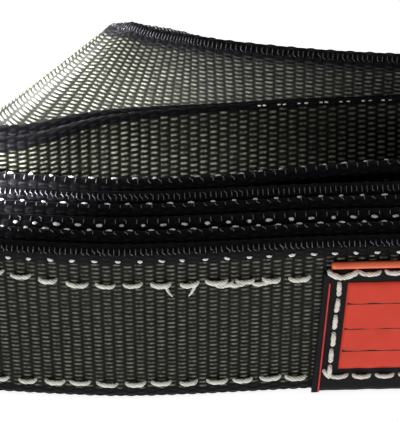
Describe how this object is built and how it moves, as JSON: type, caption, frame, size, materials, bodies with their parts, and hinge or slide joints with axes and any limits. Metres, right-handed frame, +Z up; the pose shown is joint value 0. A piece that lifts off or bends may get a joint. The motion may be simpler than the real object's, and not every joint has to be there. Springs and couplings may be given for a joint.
{
  "type": "flat web sling",
  "caption": "Flat nylon web sling with a lifting eye at each end, folded into a bundle that stands on its edges, with stitched webbing and a blank sewn-on tag.",
  "frame": {"origin": "centre of the bundle's footprint, on the surface its edges stand on", "axes": "+X along the bundle from its folds to the tagged end, +Y from the tagged front run to the back, +Z up"},
  "size_m": [0.2534, 0.1342, 0.0519],
  "materials": {
    "webbing": "woven, matt",
    "thread": "twisted, matt",
    "tag_backing": "coated, matt",
    "tag_label": "satin"
  },
  "bodies": {
    "bundle": {"body_end_outer_ply": "webbing", "body_end_inner_ply": "webbing", "front_run_outer_ply": "webbing", "front_run_inner_ply": "webbing", "left_fold_outer_ply": "webbing", "left_fold_inner_ply": "webbing", "middle_run_front_ply": "webbing", "middle_run_rear_ply": "webbing", "right_fold_outer_ply": "webbing", "right_fold_inner_ply": "webbing", "rear_run_front_ply": "webbing", "rear_run_rear_ply": "webbing", "plain_eye_fold_outer_ply": "webbing", "plain_eye_fold_inner_ply": "webbing", "upper_edge_thread": "thread", "lower_edge_thread": "thread", "eye_splice_thread": "thread", "tag_thread": "thread", "tag_backing": "tag_backing", "tag_label": "tag_label", "tag_top_strip": "tag_label"},
    "tag_eye": {"tag_eye_inner_leg": "webbing", "tag_eye_tip": "webbing", "tag_eye_outer_leg": "webbing"},
    "plain_eye": {"plain_eye_front_leg": "webbing", "plain_eye_rear_leg": "webbing", "plain_eye_tip": "webbing"}
  },
  "joints": [
    {"name": "tag_eye_swing", "type": "hinge", "parent": "bundle", "child": "tag_eye", "pos_m": [0.12558, -0.01761, 0], "axis": [0, 0, -1], "range_deg": [0, 30]},
    {"name": "plain_eye_swing", "type": "hinge", "parent": "bundle", "child": "plain_eye", "pos_m": [-0.10742, -0.01411, 0], "axis": [0, 0, 1], "range_deg": [0, 4.5]}
  ],
  "couplings": [
    {"joint": "plain_eye_swing", "follows": "tag_eye_swing", "ratio": 0.15}
  ]
}
